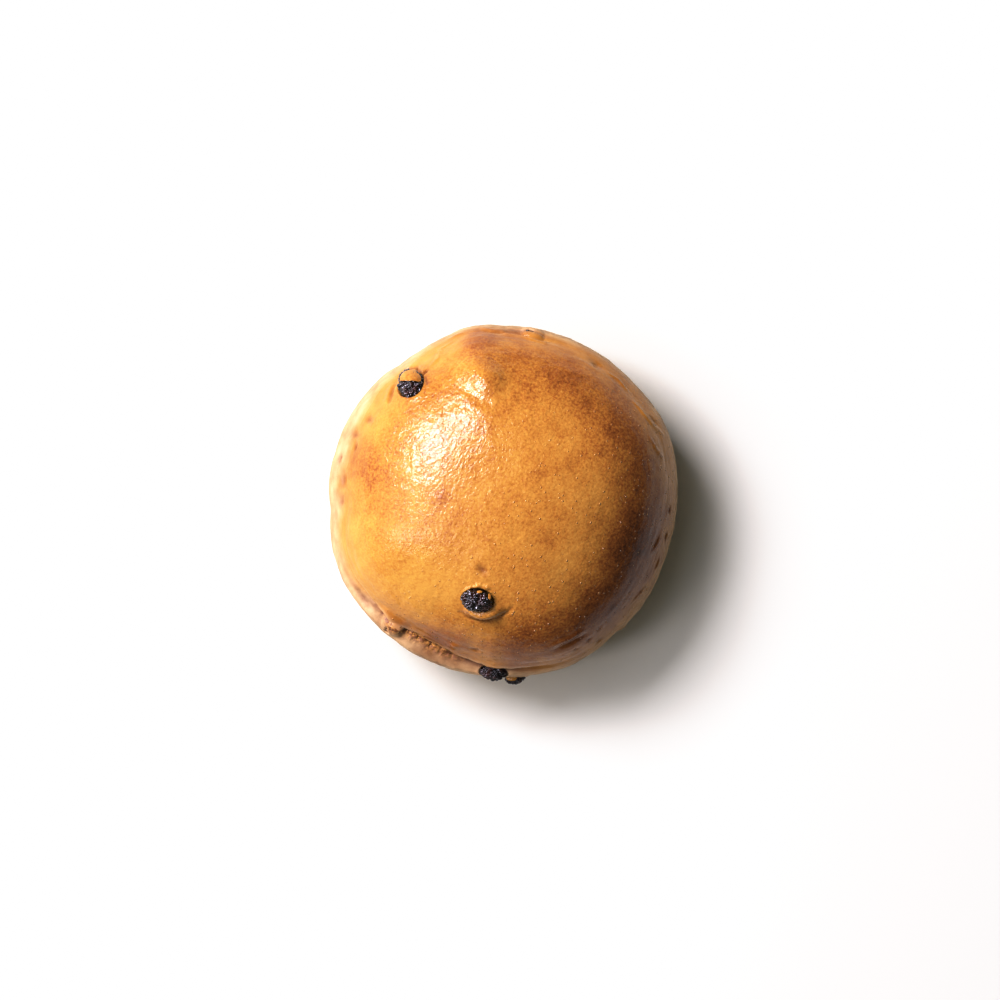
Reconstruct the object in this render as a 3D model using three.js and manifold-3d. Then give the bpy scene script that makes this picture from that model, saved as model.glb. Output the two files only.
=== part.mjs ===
// A raisin bread roll: one baked piece of dough, with raisins caught in its crust.
// Millimetres, +Z up. The origin is on the table, under the middle of the roll's plan.
//
// The dough is a domed crown over a paler skirt. Where the two meet, the rising dough pushed the crown up
// and left a ledge all round, which opens into a split on the front left.

import * as THREE from "three";
import { mergeVertices } from "three/addons/utils/BufferGeometryUtils.js";
import Module from "manifold-3d";

// ---- Driving dimensions ----

const RADIUS = 47.5; // mean radius of the skirt, seen from above
const HEIGHT = 48; // table to the top of the crown
const BASE_RADIUS = 34; // flat spot that the roll rests on
const WIDEST_Z = 17; // height at which the skirt is widest
const FOLD_Z = 25; // height at which crown and skirt meet
const CROWN_FULLNESS = 2.1; // 2 is an ellipse, more gives fuller shoulders
const SKIRT_FULLNESS = 2.2;
const POCKET_GAP = 0.4; // free space between a raisin and the dough around it

// ---- Mesh fineness ----

const AZIMUTH_STEPS = 68;
const CROWN_ROWS = 14;
const FOLD_ROWS = 11;
const SKIRT_ROWS = 5;
const BASE_ROWS = 3;
const FOLD_BAND = [-3.5, 5]; // closely spaced rows, from below to above the fold
const RAISIN_DETAIL = 3;
const POCKET_DETAIL = 2;

// Broad swellings and flats of the plan: where, how far out, and how wide, in degrees and millimetres.
const PLAN_SWELLS = [
  { at: 25, out: 1.0, wide: 14 },
  { at: 100, out: 0.9, wide: 8 },
  { at: 123, out: -1.1, wide: 13 },
  { at: 183, out: -0.7, wide: 7 },
  { at: 205, out: 0.9, wide: 16 },
  { at: 290, out: 0.5, wide: 14 },
  { at: 310, out: -0.6, wide: 6 },
  { at: 345, out: -0.9, wide: 22 },
];

// How far the crown's lip stands in from the skirt: an even ledge, and more of it at three places.
const LEDGE = 0.9;
const LEDGE_SWELLS = [
  { at: 238, out: 3.6, wide: 27 },
  { at: 172, out: 1.8, wide: 32 },
  { at: 75, out: 0.9, wide: 24 },
];

// Depth of the split between lip and skirt.
const SPLIT_SWELLS = [
  { at: 242, out: 1.8, wide: 28 },
  { at: 84, out: 0.5, wide: 16 },
];
const SPLIT_HALF_WIDTH = 0.9;
const LIP_SOFT = { closed: 6.5, open: 1.0 }; // height over which the lip turns, by how open the split is

// Lift of the fold line above FOLD_Z.
const FOLD_LIFTS = [
  { at: 225, out: 1.6, wide: 18 },
  { at: 262, out: -1.4, wide: 16 },
  { at: 80, out: 1.8, wide: 30 },
  { at: 330, out: -1.2, wide: 30 },
];
const FOLD_LIFT_REACH = 9; // height over which the dough follows the lifted fold

// Low mounds and hollows of the crust: azimuth, height on the crown, rise and reach.
const MOUNDS = [
  { at: 130, z: 37, rise: -0.5, reach: 12 },
  { at: 190, z: 41, rise: 0.5, reach: 10 },
  { at: 20, z: 36, rise: 0.6, reach: 16 },
  { at: 300, z: 34, rise: 0.4, reach: 12 },
  { at: 100, z: 34, rise: 0.8, reach: 9 },
  { at: 129, z: 34.6, rise: 1.1, reach: 3.4 }, // flap of crust over the raisin on the shoulder
  { at: 256, z: 41.4, rise: 0.9, reach: 5.5 }, // dough that the raisin on the crown pushed up
];

// The raisins: azimuth and height on the crust, length, width and thickness, turn about the crust's
// normal, and how far the raisin's middle lies above the crust.
const RAISINS = [
  { name: "raisin_crown", at: 255.8, z: 42.0, size: [9.2, 7.6, 6.2], turn: 8, proud: 0.9 },
  { name: "raisin_shoulder", at: 128.0, z: 33.0, size: [10.6, 8.0, 6.4], turn: 75, proud: 0.1 },
  { name: "raisin_split_front", at: 267.0, z: 23.0, size: [8.0, 5.4, 5.0], turn: 3, proud: -0.7 },
  { name: "raisin_split_edge", at: 273.9, z: 17.0, size: [5.8, 4.6, 4.4], turn: -14, proud: 0.1 },
  { name: "raisin_in_split", at: 228.5, z: 24.2, size: [7.6, 5.8, 5.0], turn: 20, proud: -2.5 },
  { name: "raisin_back", at: 80.0, z: 22.6, size: [8.4, 6.6, 5.2], turn: -12, proud: -2.5 },
  { name: "raisin_side", at: 20.0, z: 9.5, size: [8.6, 6.8, 5.4], turn: 30, proud: -0.9 },
];

// The raisin that baked against the tray: pressed flat, and just clear of the table.
const FLAT_RAISIN = { name: "raisin_underside", at: 150, radius: 19, size: [9, 7, 4.4], turn: 35 };
const FLAT_RAISIN_LEVEL = 0.3;
const FLAT_RAISIN_MIDDLE = 1.3;

const wasm = await Module();
wasm.setup();

const radians = THREE.MathUtils.degToRad;

// A smooth hump around the circle: 1 at `centre`, falling away over `wide` degrees on both sides.
function hump(azimuth, centre, wide) {
  const turn = THREE.MathUtils.euclideanModulo(azimuth - centre + 180, 360) - 180;
  return Math.exp(-((turn / wide) ** 2));
}

const swellsAt = (swells, azimuth) =>
  swells.reduce((sum, { at, out, wide }) => sum + out * hump(azimuth, at, wide), 0);

// Radius of the plain, round roll at a height.
function profileRadius(z) {
  if (z >= WIDEST_Z) {
    const rise = Math.min((z - WIDEST_Z) / (HEIGHT - WIDEST_Z), 1);
    return RADIUS * (1 - rise ** CROWN_FULLNESS) ** (1 / CROWN_FULLNESS);
  }
  const baseShare = BASE_RADIUS / RADIUS;
  const reach = WIDEST_Z / (1 - baseShare ** SKIRT_FULLNESS) ** (1 / SKIRT_FULLNESS);
  return RADIUS * (1 - ((WIDEST_Z - z) / reach) ** SKIRT_FULLNESS) ** (1 / SKIRT_FULLNESS);
}

const pointAt = (azimuth, radius, z) =>
  new THREE.Vector3(radius * Math.cos(radians(azimuth)), radius * Math.sin(radians(azimuth)), z);

// The crust before its mounds: the round profile with its plan, ledge, split and lifted fold.
function bareCrust(azimuth, radius, z) {
  const split = swellsAt(SPLIT_SWELLS, azimuth);
  const open = Math.min(split, 1);
  const soft = THREE.MathUtils.lerp(LIP_SOFT.closed, LIP_SOFT.open, open);
  const above = THREE.MathUtils.smoothstep(z - FOLD_Z, -soft / 2, soft / 2);
  const ledge = LEDGE + swellsAt(LEDGE_SWELLS, azimuth);
  const inSplit = Math.exp(-(((z - FOLD_Z) / SPLIT_HALF_WIDTH) ** 2));
  const scale = (1 + swellsAt(PLAN_SWELLS, azimuth) / RADIUS) * (1 - (ledge / RADIUS) * above);
  const lift = swellsAt(FOLD_LIFTS, azimuth) * Math.exp(-(((z - FOLD_Z) / FOLD_LIFT_REACH) ** 2));
  const shareOut = Math.min(radius / profileRadius(FOLD_Z), 1);
  return pointAt(azimuth, radius * scale - split * inSplit, z + (z > 0 ? lift * shareOut : 0));
}

const crustPoint = (azimuth, z) => bareCrust(azimuth, profileRadius(z), z);

// Outward direction of the bare crust, from two short steps along it.
function crustNormal(azimuth, z) {
  const step = 0.4;
  const around = crustPoint(azimuth + step, z).sub(crustPoint(azimuth - step, z));
  const up = crustPoint(azimuth, z + step).sub(crustPoint(azimuth, z - step));
  return around.cross(up).normalize();
}

const mounds = MOUNDS.map(({ at, z, rise, reach }) => ({
  centre: crustPoint(at, z),
  push: crustNormal(at, z).multiplyScalar(rise),
  reach,
}));

// The finished crust: every point is pushed by the mounds near it. The base stays flat on the table.
function shapeDough(point) {
  const azimuth = THREE.MathUtils.radToDeg(Math.atan2(point.y, point.x));
  const crust = bareCrust(azimuth, Math.hypot(point.x, point.y), point.z);
  if (point.z <= 0) return crust;
  const pushes = mounds.map(({ centre, push, reach }) =>
    push.clone().multiplyScalar(Math.exp(-((crust.distanceTo(centre) / reach) ** 2))),
  );
  return pushes.reduce((sum, push) => sum.add(push), crust.clone());
}

// Radius and height of each row of the dough, from the crown to the middle of the base.
function doughProfile() {
  const [foldLow, foldHigh] = FOLD_BAND.map((offset) => FOLD_Z + offset);
  const crownEnd = Math.asin((foldHigh - WIDEST_Z) / (HEIGHT - WIDEST_Z));
  const heights = [];
  for (let i = 1; i <= CROWN_ROWS; i++) {
    const angle = THREE.MathUtils.lerp(Math.PI / 2, crownEnd, i / (CROWN_ROWS + 1));
    heights.push(WIDEST_Z + (HEIGHT - WIDEST_Z) * Math.sin(angle));
  }
  for (let i = 0; i <= FOLD_ROWS; i++) {
    heights.push(THREE.MathUtils.lerp(foldHigh, foldLow, i / FOLD_ROWS));
  }
  for (let i = 1; i <= SKIRT_ROWS; i++) {
    heights.push(THREE.MathUtils.lerp(foldLow, 0, i / SKIRT_ROWS));
  }
  const rows = heights.map((z) => new THREE.Vector2(profileRadius(z), z));
  for (let i = 1; i < BASE_ROWS; i++) {
    rows.push(new THREE.Vector2(THREE.MathUtils.lerp(BASE_RADIUS, 0, i / BASE_ROWS), 0));
  }
  return [new THREE.Vector2(0, HEIGHT), ...rows, new THREE.Vector2(0, 0)];
}

function doughGeometry() {
  const geometry = new THREE.LatheGeometry(doughProfile().reverse(), AZIMUTH_STEPS);
  geometry.rotateX(Math.PI / 2);
  const position = geometry.getAttribute("position");
  const point = new THREE.Vector3();
  for (let i = 0; i < position.count; i++) {
    point.fromBufferAttribute(position, i);
    if (Math.abs(point.z) < 1e-4) point.z = 0;
    const shaped = shapeDough(point);
    position.setXYZ(i, shaped.x, shaped.y, shaped.z);
  }
  return geometry;
}

// A dried raisin: an ellipsoid drawn in along folds that run its length, with finer puckers across them.
function raisinGeometry([length, width, thickness], seed) {
  const folds = 6;
  const foldDepth = 0.1;
  const puckerDepth = 0.05;
  const geometry = new THREE.IcosahedronGeometry(1, RAISIN_DETAIL);
  const position = geometry.getAttribute("position");
  const point = new THREE.Vector3();
  for (let i = 0; i < position.count; i++) {
    point.fromBufferAttribute(position, i);
    const around = Math.atan2(point.z, point.y);
    const fold = (1 + Math.cos(folds * around + 2 * Math.sin(2 * point.x + seed))) / 2;
    const pucker = (1 + Math.sin(9 * point.x + 4 * Math.sin(2 * around + seed))) / 2;
    const awayFromTips = 1 - point.x ** 4;
    point.multiplyScalar(1 - awayFromTips * (foldDepth * fold + puckerDepth * pucker));
    position.setXYZ(i, point.x, point.y, point.z);
  }
  return geometry.scale(length / 2, width / 2, thickness / 2);
}

// The space that a raisin needs in the dough: its outer ellipsoid and the gap around it.
function pocketGeometry(size) {
  const half = size.map((side) => side / 2 + POCKET_GAP);
  return new THREE.IcosahedronGeometry(1, POCKET_DETAIL).scale(...half);
}

// Where a raisin lies: its middle, with X along it and Z out of the crust.
function seatMatrix(middle, outward, turn) {
  const level = new THREE.Vector3(-outward.y, outward.x, 0).normalize();
  const uphill = new THREE.Vector3().crossVectors(outward, level);
  return new THREE.Matrix4()
    .makeBasis(level, uphill, outward)
    .setPosition(middle)
    .multiply(new THREE.Matrix4().makeRotationZ(radians(turn)));
}

function crustSeat({ at, z, turn, proud }) {
  const outward = crustNormal(at, z);
  return seatMatrix(crustPoint(at, z).addScaledVector(outward, proud), outward, turn);
}

function traySeat({ at, radius, turn }) {
  const middle = pointAt(at, radius, FLAT_RAISIN_MIDDLE);
  return new THREE.Matrix4().setPosition(middle).multiply(new THREE.Matrix4().makeRotationZ(radians(turn)));
}

function solidFrom(geometry) {
  const bare = geometry.clone();
  bare.deleteAttribute("normal");
  bare.deleteAttribute("uv");
  const merged = mergeVertices(bare, 1e-3);
  return new wasm.Manifold(
    new wasm.Mesh({
      numProp: 3,
      vertProperties: new Float32Array(merged.getAttribute("position").array),
      triVerts: new Uint32Array(merged.index.array),
    }),
  );
}

function geometryFrom(solid) {
  const mesh = solid.getMesh();
  const geometry = new THREE.BufferGeometry();
  geometry.setAttribute("position", new THREE.BufferAttribute(mesh.vertProperties, mesh.numProp));
  geometry.setIndex(new THREE.BufferAttribute(mesh.triVerts, 1));
  geometry.computeVertexNormals();
  return geometry;
}

const crust = new THREE.MeshStandardMaterial({ color: 0xdb9040, roughness: 0.3, metalness: 0 });
const raisinSkin = new THREE.MeshStandardMaterial({ color: 0x1d1314, roughness: 0.35, metalness: 0 });

// A raisin in its seat. Nothing of it reaches below the level of the one pressed on the tray.
function raisinMesh(raisin, seat, seed) {
  const geometry = raisinGeometry(raisin.size, seed).applyMatrix4(seat);
  const position = geometry.getAttribute("position");
  for (let i = 0; i < position.count; i++) {
    position.setZ(i, Math.max(position.getZ(i), FLAT_RAISIN_LEVEL));
  }
  geometry.computeVertexNormals();
  const mesh = new THREE.Mesh(geometry, raisinSkin.clone());
  mesh.name = raisin.name;
  return mesh;
}

function rollMesh(seats) {
  const dough = solidFrom(doughGeometry());
  const hollowed = seats.reduce(
    (solid, { raisin, seat }) => solid.subtract(solidFrom(pocketGeometry(raisin.size).applyMatrix4(seat))),
    dough,
  );
  const mesh = new THREE.Mesh(geometryFrom(hollowed), crust);
  mesh.name = "roll";
  return mesh;
}

// Moves the group so that the middle of its plan is over the origin.
function centreOnTable(group) {
  const middle = new THREE.Box3().setFromObject(group, true).getCenter(new THREE.Vector3());
  group.position.set(-middle.x, -middle.y, 0);
  return group;
}

const seats = [
  ...RAISINS.map((raisin) => ({ raisin, seat: crustSeat(raisin) })),
  { raisin: FLAT_RAISIN, seat: traySeat(FLAT_RAISIN) },
];

const breadRoll = new THREE.Group();
breadRoll.add(rollMesh(seats), ...seats.map(({ raisin, seat }, i) => raisinMesh(raisin, seat, i)));

export default centreOnTable(breadRoll);
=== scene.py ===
# %% [markdown]
# # A raisin bread roll
# The roll is one piece of baked dough: a glossy brown crown over a paler skirt, torn open at the front
# left, with raisins caught in its crust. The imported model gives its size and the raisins' places. The
# dough and the raisins are then modelled again, finely enough to carry wrinkles, dimples and torn crumb.

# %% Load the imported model
import math
import random

import bmesh
import bpy
import numpy as np
from mathutils import Matrix, Vector, noise
from mathutils.kdtree import KDTree


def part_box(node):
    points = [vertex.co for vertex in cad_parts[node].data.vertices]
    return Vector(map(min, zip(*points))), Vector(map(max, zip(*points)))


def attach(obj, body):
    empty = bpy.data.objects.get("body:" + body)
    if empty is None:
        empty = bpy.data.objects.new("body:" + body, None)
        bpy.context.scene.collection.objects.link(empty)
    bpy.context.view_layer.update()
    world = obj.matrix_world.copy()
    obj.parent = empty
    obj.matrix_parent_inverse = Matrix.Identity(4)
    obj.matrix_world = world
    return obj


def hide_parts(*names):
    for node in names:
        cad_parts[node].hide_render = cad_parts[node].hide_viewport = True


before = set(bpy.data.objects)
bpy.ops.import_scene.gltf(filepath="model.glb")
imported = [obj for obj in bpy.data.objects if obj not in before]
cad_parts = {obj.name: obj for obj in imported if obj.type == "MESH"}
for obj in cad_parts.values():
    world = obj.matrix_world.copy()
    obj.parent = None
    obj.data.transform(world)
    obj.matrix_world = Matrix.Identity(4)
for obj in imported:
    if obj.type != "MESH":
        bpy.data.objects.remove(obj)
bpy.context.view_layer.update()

MM = 0.001
roll_low, roll_high = (np.array(corner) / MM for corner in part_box("roll"))
print("The roll fills, in mm:", (roll_high - roll_low).round(1))

# %% [markdown]
# ## The plain shape of the dough
# A roll could be sculpted by hand, but then its parts would have no measured places. Here a few formulas
# give it: a round profile, swellings round its plan, a ledge where the crown sits on the skirt, and a
# split where that ledge tore open. The lists read: direction in degrees, how much in mm, how wide in
# degrees. Direction 0 is +X and 90 is +Y, the back.

# %% Sizes of the dough
HEIGHT = roll_high[2]
RADIUS = 47.5
BASE_RADIUS = 34
WIDEST_Z = 17
FOLD_Z = 25
CROWN_FULLNESS = 2.1
SKIRT_FULLNESS = 2.2
PLAN_SWELLS = [
    (25, 1.0, 14),
    (100, 0.9, 8),
    (123, -1.1, 13),
    (183, -0.7, 7),
    (205, 0.9, 16),
    (290, 0.5, 14),
    (310, -0.6, 6),
    (345, -0.9, 22),
]
LEDGE = 0.9
LEDGE_SWELLS = [(238, 3.6, 27), (172, 1.8, 32), (75, 0.9, 24)]
SPLIT_SWELLS = [(245, 1.8, 31), (84, 0.5, 16)]
FOLD_LIFTS = [(225, 1.6, 18), (262, -1.4, 16), (80, 1.8, 30), (330, -1.2, 30)]
FOLD_LIFT_REACH = 9
LIP_SWELLS = [(227, 1.5, 5), (268, 0.5, 9)]
# How many waves run round the roll's torn edge, where each starts in radians, and its size.
EDGE_WAVES = [
    (5, 0.4, 0.3),
    (9, 1.9, 0.3),
    (17, 0.2, 0.35),
    (31, 2.7, 0.35),
    (57, 1.1, 0.25),
    (83, 2.2, 0.15),
]


# %% Helpers for swellings and soft steps
def hump(azimuth, at, wide):
    turn = (azimuth - at + 180) % 360 - 180
    return np.exp(-((turn / wide) ** 2))


def swell(azimuth, humps):
    return sum(much * hump(azimuth, at, wide) for at, much, wide in humps)


def smooth_step(value, low, high):
    share = np.clip((value - low) / (high - low), 0, 1)
    return share * share * (3 - 2 * share)


def mix(low, high, share):
    return low + (high - low) * share


# %% [markdown]
# ### From a round profile to the dough
# The ledge is a step in the radius. Where the split is open, the step is a nearly level shelf, a groove
# runs in behind it, and the crown's lip hangs over the groove. A height map can't hold an overhang, so
# the lip is pushed out and down by a vector.

# %% The round profile, and the crust made from it
def profile_radius(z):
    rise = np.clip((z - WIDEST_Z) / (HEIGHT - WIDEST_Z), 0, 1)
    crown = RADIUS * (1 - rise**CROWN_FULLNESS) ** (1 / CROWN_FULLNESS)
    base_share = BASE_RADIUS / RADIUS
    reach = WIDEST_Z / (1 - base_share**SKIRT_FULLNESS) ** (1 / SKIRT_FULLNESS)
    fall = np.clip((WIDEST_Z - z) / reach, 0, 1)
    skirt = RADIUS * (1 - fall**SKIRT_FULLNESS) ** (1 / SKIRT_FULLNESS)
    return np.where(z >= WIDEST_Z, crown, skirt)


def split_openness(azimuth):
    return np.clip(swell(azimuth, SPLIT_SWELLS), 0, 1)


def ragged(azimuth):
    """An uneven edge round the roll, about 1 either way, that closes on itself."""
    turn = np.radians(azimuth)
    return sum(size * np.sin(count * turn + start) for count, start, size in EDGE_WAVES)


def crust(azimuth, radius, z):
    """Points of the dough for points of the round profile, and their height above the fold."""
    opened = split_openness(azimuth)
    above_fold = z - FOLD_Z
    above_fold = above_fold + 0.5 * opened * ragged(azimuth) * smooth_step(above_fold, -1.2, -0.2)
    step = smooth_step(above_fold, mix(-3.25, -2.6, opened), mix(3.25, -0.2, opened))
    ledge = LEDGE + swell(azimuth, LEDGE_SWELLS) + 0.12 * opened * ragged(azimuth + 40)
    groove = swell(azimuth, SPLIT_SWELLS) * np.exp(-((above_fold / mix(0.9, 0.6, opened)) ** 2))
    lip = opened * np.exp(-(((above_fold - 1.3) / 0.9) ** 2))
    scale = (1 + swell(azimuth, PLAN_SWELLS) / RADIUS) * (1 - ledge / RADIUS * step)
    lift = swell(azimuth, FOLD_LIFTS) * np.exp(-((above_fold / FOLD_LIFT_REACH) ** 2))
    share_out = np.clip(radius / profile_radius(FOLD_Z), 0, 1)
    out = radius * scale - groove + (0.8 + swell(azimuth, LIP_SWELLS)) * lip
    up = z + np.where(z > 0, lift * share_out - 1.2 * lip, 0)
    turn = np.radians(azimuth)
    return np.stack([out * np.cos(turn), out * np.sin(turn), up], axis=-1), above_fold


ring = np.arange(0.0, 360.0)
plan, _ = crust(ring, np.full(360, RADIUS), np.full(360, float(WIDEST_Z)))
plan_centre = (plan.min(axis=0) + plan.max(axis=0)) / 2
ROLL_CENTRE = ((roll_low + roll_high) / 2 - plan_centre) * (1, 1, 0)
print("Middle of the formulas' circle, in mm:", ROLL_CENTRE.round(2))

# %% [markdown]
# ### A ball of even squares
# A ball from the sphere operators has a pole where long thin faces meet, right at the top of the crown.
# A cube with its sides cut into squares and blown up into a ball has none, so the crown's fine wrinkles
# are as good at the top as anywhere. It is cut once more where the split and the raisins need it.

# %% Make the ball
CUTS = 111


def blow_up(bm, from_cube=False):
    for vert in bm.verts:
        if from_cube:
            vert.co = Vector(math.tan(side * math.pi / 4) for side in vert.co)
        vert.co.normalize()


def directions(bm):
    """Direction round the ball in degrees, and the share of the way from its top to its bottom."""
    points = np.array([vert.co for vert in bm.verts])
    azimuth = np.degrees(np.arctan2(points[:, 1], points[:, 0])) % 360
    return azimuth, np.arccos(np.clip(points[:, 2], -1, 1)) / math.pi


dough = bmesh.new()
bmesh.ops.create_cube(dough, size=2)
bmesh.ops.subdivide_edges(dough, edges=dough.edges, cuts=CUTS, use_grid_fill=True)
blow_up(dough, from_cube=True)
print("Squares in the ball:", len(dough.faces))

# %% [markdown]
# ### From the ball to the roll
# Each share of the way down the ball gets a place on the profile. The belt at the fold gets far more than
# its share of squares, because the lip, the groove and the torn crumb are all there.

# %% Places on the profile
CROWN_END = FOLD_Z + 5
SKIRT_START = FOLD_Z - 3.5
SHARES = (0, 0.4, 0.575, 0.76, 1)


def station(share):
    """Radius and height on the round profile, for a share of the way from top to bottom."""
    last_turn = math.acos((CROWN_END - WIDEST_Z) / (HEIGHT - WIDEST_Z))
    crown_turn = share / SHARES[1] * last_turn
    crown_z = WIDEST_Z + (HEIGHT - WIDEST_Z) * np.cos(np.clip(crown_turn, 0, last_turn))
    lower_z = np.interp(share, SHARES[1:4], (CROWN_END, SKIRT_START, 0))
    z = np.where(share < SHARES[1], crown_z, lower_z)
    radius = np.where(share <= SHARES[3], profile_radius(z), 0)
    on_base = share > SHARES[3]
    return np.where(on_base, np.interp(share, SHARES[3:], (BASE_RADIUS, 0)), radius), z


# %% [markdown]
# ### Where the raisins are
# Each raisin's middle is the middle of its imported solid, so it can't drift from the model that carries
# its weight. Only the one on the crown is moved, by less than a millimetre, because the finer dough lifts
# it. A frame of three directions goes with each: along the raisin, across it, and out of the crust.

# %% Seats of the raisins
RAISIN_SIZES = {
    "raisin_crown": (9.2, 6.4, 6.2),
    "raisin_shoulder": (10.6, 8.0, 6.4),
    "raisin_split_front": (8.0, 5.4, 5.0),
    "raisin_split_edge": (5.8, 4.6, 4.4),
    "raisin_in_split": (7.6, 5.8, 5.0),
    "raisin_back": (8.4, 6.6, 5.2),
    "raisin_side": (8.6, 6.8, 5.4),
    "raisin_underside": (9, 7, 4.4),
}
RAISIN_TURNS = dict(zip(RAISIN_SIZES, (8, 75, 3, -14, 20, -12, 30, 35)))
BACK_AND_UP = (0.6, 0.7)


def middle_of(node):
    low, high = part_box(node)
    return np.array((low + high) / 2) / MM


def outward_at(point):
    """Direction out of the round profile at its nearest height and radius."""
    reach = math.hypot(*(point - ROLL_CENTRE)[:2])
    heights = np.linspace(1, HEIGHT - 0.01, 400)
    radii = profile_radius(heights)
    nearest = np.argmin((heights - point[2]) ** 2 + (radii - reach) ** 2)
    slope = np.gradient(radii, heights)[nearest]
    flat = (point - ROLL_CENTRE)[:2] / reach
    return Vector((*flat, -slope)).normalized()


def seat(node):
    """The raisin's directions as the columns of a matrix, and its middle."""
    middle = middle_of(node)
    outward = Vector((0, 0, -1)) if node == "raisin_underside" else outward_at(middle)
    level = Vector((-middle[1], middle[0], 0)).normalized()
    uphill = outward.cross(level).normalized()
    level = uphill.cross(outward)
    turned = Matrix((level, uphill, outward)).transposed()
    return np.array(turned @ Matrix.Rotation(math.radians(RAISIN_TURNS[node]), 3, "Z")), middle


seats = {node: seat(node) for node in RAISIN_SIZES}
seats["raisin_crown"][1][1:] += BACK_AND_UP
print("Raisins:", {node: middle.round(1).tolist() for node, (_, middle) in seats.items()})


# %% Cut the ball finer at the split and under the raisins
# Direction and half width of the fine belt at the split in degrees, its half height and the reach of the
# fine spots under the raisins in mm.
FINE_SPLIT = (243, 23)
FINE_BELT = 3.2
FINE_REACH = 6.2


def plain_points(bm):
    azimuth, share = directions(bm)
    points, above_fold = crust(azimuth, *station(share))
    return points + ROLL_CENTRE, azimuth, share, above_fold


def needs_detail(bm):
    points, azimuth, _, above_fold = plain_points(bm)
    at_split = (hump(azimuth, *FINE_SPLIT) > math.exp(-1)) & (np.abs(above_fold + 0.3) < FINE_BELT)
    near = [np.linalg.norm(points - middle, axis=1) < FINE_REACH for _, middle in seats.values()]
    return np.logical_or.reduce([at_split, *near])


wanted = needs_detail(dough)
chosen = {edge for face in dough.faces for edge in face.edges if all(wanted[v.index] for v in face.verts)}
bmesh.ops.subdivide_edges(dough, edges=list(chosen), cuts=1, use_grid_fill=True)
bmesh.ops.triangulate(dough, faces=[face for face in dough.faces if len(face.verts) > 4])
blow_up(dough)
points, azimuth, share, above_fold = plain_points(dough)
print("Faces with the finer cuts:", len(dough.faces))

# %% [markdown]
# ## Sculpting
# A sculptor would now push and pinch the dough. Each tool below does the same to a list of points: it
# moves the ones near a place along the surface's own outward direction. Broad swellings come first and
# fine wrinkles last, as in sculpting.


# %% Tools that move the dough
def write_points():
    for vert, point in zip(dough.verts, points):
        vert.co = point


def read_normals():
    write_points()
    dough.normal_update()
    return np.array([vert.normal for vert in dough.verts])


def speckle(size, seed, stretch=(1, 1, 1), octaves=1):
    """Smooth noise from about -1 to 1 at every point, in patches of a size in mm."""
    shifted = points * np.array(stretch) / size + seed * 17.3
    return np.array([noise.fractal(point, 1.0, 2.0, octaves) for point in shifted])


def raise_by(amount):
    points[:] += normals * np.broadcast_to(amount, len(points))[:, None]


def surface_below(x, y):
    """Index of the point of the crust that shows from above at a place on the plan."""
    return seen_from_above.find((x + ROLL_CENTRE[0], y + ROLL_CENTRE[1], 0))[1]


def distance_to_path(path, samples=24):
    """Distance of every point from a line over the crust, drawn through places on the plan."""
    legs = np.linspace(0, len(path) - 1, samples)
    corners = np.array(path, float)
    places = np.stack([np.interp(legs, range(len(path)), corners[:, side]) for side in (0, 1)], axis=1)
    on_crust = np.array([points[surface_below(x, y)] for x, y in places])
    nearest = np.full(len(points), 1e9)
    along = np.zeros(len(points))
    for i, (start, end) in enumerate(zip(on_crust, on_crust[1:])):
        leg = end - start
        share = np.clip(((points - start) @ leg) / max(leg @ leg, 1e-9), 0, 1)
        away = np.linalg.norm(points - start - share[:, None] * leg, axis=1)
        along = np.where(away < nearest, (i + share) / (samples - 1), along)
        nearest = np.minimum(nearest, away)
    return nearest, along


def stroke(path, wide, rise, shade_stain=0.0):
    """Raises or cuts the crust along a path, and darkens it there with painted shade."""
    nearest, along = distance_to_path(path)
    fade = np.sin(math.pi * np.clip(along, 0.08, 0.92)) ** 0.5
    shape = fade * np.exp(-((nearest / wide) ** 2))
    raise_by(rise * shape)
    crease[:] = np.maximum(crease, shade_stain * shape)


normals = read_normals()
crease = np.zeros(len(points))
seen_from_above = KDTree(len(points))
for i, (point, normal) in enumerate(zip(points, normals)):
    if normal[2] > 0.05 and (above_fold[i] > 0.4 or point[2] < FOLD_Z + 1):
        seen_from_above.insert((point[0], point[1], 0), i)
seen_from_above.balance()

# %% [markdown]
# ### Mounds
# Gas in the dough and the raisins under it lift the crust in low mounds. The broad ones follow the packed
# model's, but for a hollow at the back left that is filled here. The two small ones high at the back, and
# the noise, only show in how the gloss bends. The raisin on the crown pushed up a fold that ends in a
# steep bow below it.

# %% Raise the mounds
MOUNDS = [
    # direction, height, rise, reach
    (130, 37, 0.1, 12),
    (190, 41, 0.5, 10),
    (20, 36, 0.6, 16),
    (300, 34, 0.4, 12),
    (100, 34, 0.8, 9),
    (97, 40.2, 1.4, 4.2),
    (103, 37.8, 0.6, 4),
]
for at, z, rise, reach in MOUNDS:
    centre = crust(np.array([float(at)]), profile_radius(np.array([float(z)])), np.array([float(z)]))[0]
    away = np.linalg.norm(points - centre - ROLL_CENTRE, axis=1)
    raise_by(rise * np.exp(-((away / reach) ** 2)))

# %% Raise the bow, and the dough's unevenness
BOW_MIDDLE = (-4.9, -23.1)
BOW_RADIUS = 8.9
BOW_RISE = 2.4
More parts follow.
